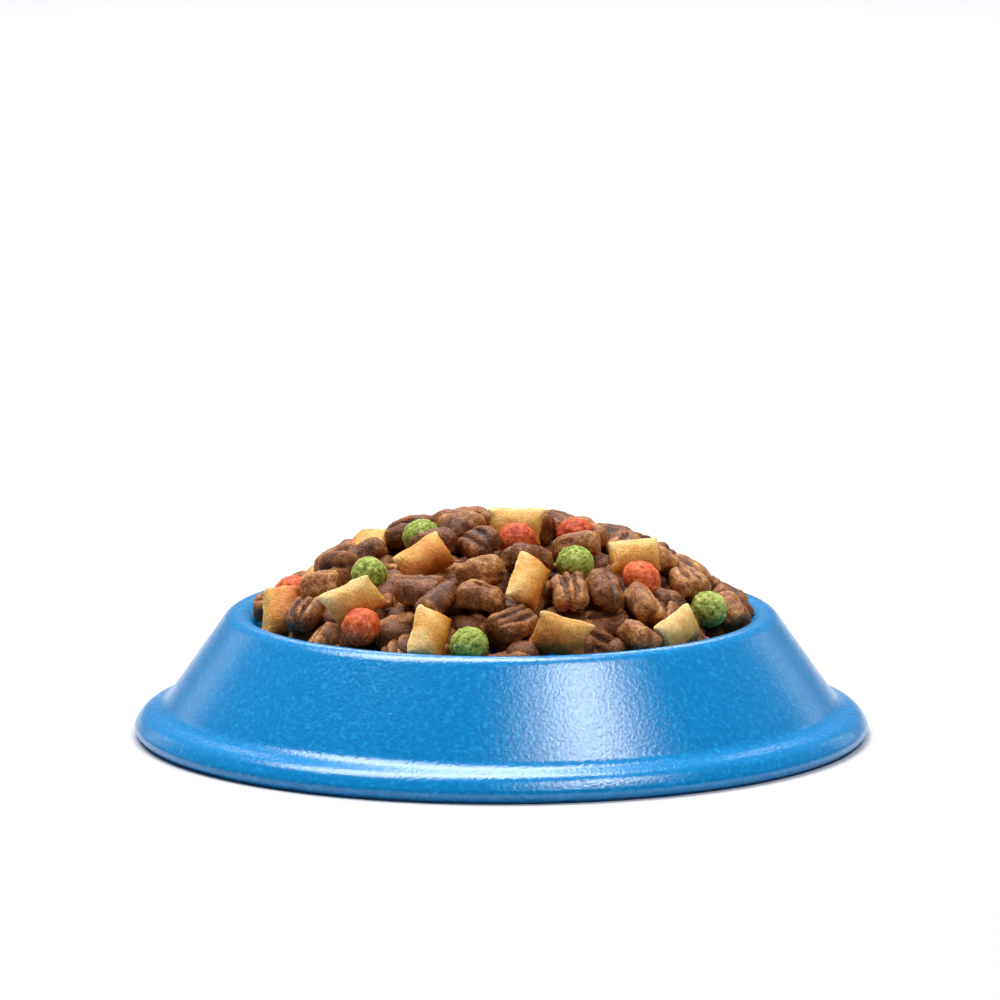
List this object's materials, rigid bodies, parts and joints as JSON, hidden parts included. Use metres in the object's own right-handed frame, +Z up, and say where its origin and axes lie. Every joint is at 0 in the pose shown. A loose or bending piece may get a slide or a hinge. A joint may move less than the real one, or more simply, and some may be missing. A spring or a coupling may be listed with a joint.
{
  "type": "pet food bowl filled with dry food",
  "caption": "Low round plastic pet bowl with a rolled rim, sloping skirt and wide base flange, heaped with dry food pieces of five kinds.",
  "frame": {"origin": "middle of the foot ring, on the surface the bowl stands on", "axes": "+Z up along the bowl's axis; -Y is the side where every food piece is a node of its own"},
  "size_m": [0.2206, 0.2206, 0.068],
  "materials": {
    "blue_plastic": "moulded gloss with a fine grain and faint lighter flecks",
    "brown_kibble": "baked, porous, matt with a slight fat sheen",
    "yellow_kibble": "puffed, fine lengthwise lines",
    "green_kibble": "crumbly, matt",
    "orange_kibble": "crumbly, matt"
  },
  "bodies": {
    "root": {"bowl": "blue_plastic", "brown_bean_01": "brown_kibble", "brown_bean_02": "brown_kibble", "brown_bean_03": "brown_kibble", "brown_bean_04": "brown_kibble", "brown_bean_05": "brown_kibble", "brown_bean_06": "brown_kibble", "brown_bean_07": "brown_kibble", "brown_bean_08": "brown_kibble", "brown_bean_09": "brown_kibble", "brown_bean_10": "brown_kibble", "brown_bean_11": "brown_kibble", "brown_bean_12": "brown_kibble", "brown_bean_13": "brown_kibble", "brown_bean_14": "brown_kibble", "brown_bean_15": "brown_kibble", "brown_bean_16": "brown_kibble", "brown_bean_17": "brown_kibble", "brown_bean_18": "brown_kibble", "brown_bean_19": "brown_kibble", "brown_bean_20": "brown_kibble", "brown_bean_21": "brown_kibble", "brown_bean_22": "brown_kibble", "brown_bean_23": "brown_kibble", "brown_bean_24": "brown_kibble", "brown_bean_25": "brown_kibble", "brown_bean_26": "brown_kibble", "brown_bean_27": "brown_kibble", "brown_chunk_01": "brown_kibble", "brown_chunk_02": "brown_kibble", "brown_chunk_03": "brown_kibble", "brown_chunk_04": "brown_kibble", "brown_chunk_05": "brown_kibble", "brown_chunk_06": "brown_kibble", "brown_chunk_07": "brown_kibble", "brown_chunk_08": "brown_kibble", "brown_chunk_09": "brown_kibble", "brown_chunk_10": "brown_kibble", "brown_chunk_11": "brown_kibble", "green_ball_01": "green_kibble", "green_ball_02": "green_kibble", "green_ball_03": "green_kibble", "green_ball_04": "green_kibble", "green_ball_05": "green_kibble", "kibble_bed": "brown_kibble", "orange_ball_01": "orange_kibble", "orange_ball_02": "orange_kibble", "orange_ball_03": "orange_kibble", "orange_ball_04": "orange_kibble", "orange_ball_05": "orange_kibble", "yellow_pillow_01": "yellow_kibble", "yellow_pillow_02": "yellow_kibble", "yellow_pillow_03": "yellow_kibble", "yellow_pillow_04": "yellow_kibble", "yellow_pillow_05": "yellow_kibble", "yellow_pillow_06": "yellow_kibble", "yellow_pillow_07": "yellow_kibble", "yellow_pillow_08": "yellow_kibble", "yellow_pillow_09": "yellow_kibble", "yellow_pillow_10": "yellow_kibble"}
  },
  "joints": []
}
